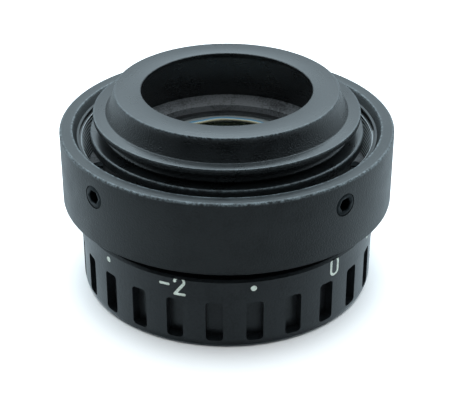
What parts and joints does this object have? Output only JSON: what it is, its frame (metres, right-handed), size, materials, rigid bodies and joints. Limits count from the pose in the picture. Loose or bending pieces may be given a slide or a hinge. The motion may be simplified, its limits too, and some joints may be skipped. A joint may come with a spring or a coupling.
{
  "type": "focusing eyepiece",
  "caption": "Short black focusing eyepiece for a grain focuser: ribbed dioptre ring with a scale, wide mounting collar with an inside thread, and a stepped nose round the lens.",
  "frame": {"origin": "centre of the eye-side foot face of the dioptre ring, on the optical axis", "axes": "+Z along the optical axis from the eye side to the mounting side, -Y towards the front, where the scale reads from minus to plus"},
  "size_m": [0.043, 0.043, 0.0267],
  "materials": {
    "black_anodised": "satin black anodised",
    "black_oxide_steel": "black oxide",
    "steel": "ground",
    "brass": "turned",
    "washer_plastic": "matt slippery plastic",
    "white_fill": "matt enamel fill in the engraving",
    "coated_glass": "polished, anti-reflection coated"
  },
  "bodies": {
    "mount": {"mounting_collar": "black_anodised", "collar_grub_screws": "black_oxide_steel", "index_mark": "white_fill", "nose_cap": "black_anodised", "guide_tube": "black_anodised", "tube_screws": "black_oxide_steel", "upper_thrust_washer": "washer_plastic", "lower_thrust_washer": "washer_plastic", "ring_retainer": "black_anodised"},
    "ring": {"dioptre_ring": "black_anodised", "scale_marks": "white_fill", "cam_sleeve": "brass", "cam_keys": "black_oxide_steel"},
    "cell": {"lens_cell": "black_anodised", "follower_pins": "steel", "follower_rollers": "brass", "field_retainer": "black_anodised", "field_crown": "coated_glass", "field_flint": "coated_glass", "lens_spacer": "black_anodised", "eye_flint": "coated_glass", "eye_crown": "coated_glass", "eye_retainer": "black_anodised"}
  },
  "joints": [
    {"name": "dioptre_turn", "type": "hinge", "parent": "mount", "child": "ring", "pos_m": [0, 0, 0.006], "axis": [0, 0, 1], "range_deg": [-30, 210]},
    {"name": "cell_slide", "type": "slide", "parent": "mount", "child": "cell", "axis": [0, 0, 1], "range_m": [-0.00063, 0.00438]}
  ],
  "couplings": [
    {"joint": "cell_slide", "follows": "dioptre_turn", "m_per_rad": 0.0011937}
  ]
}
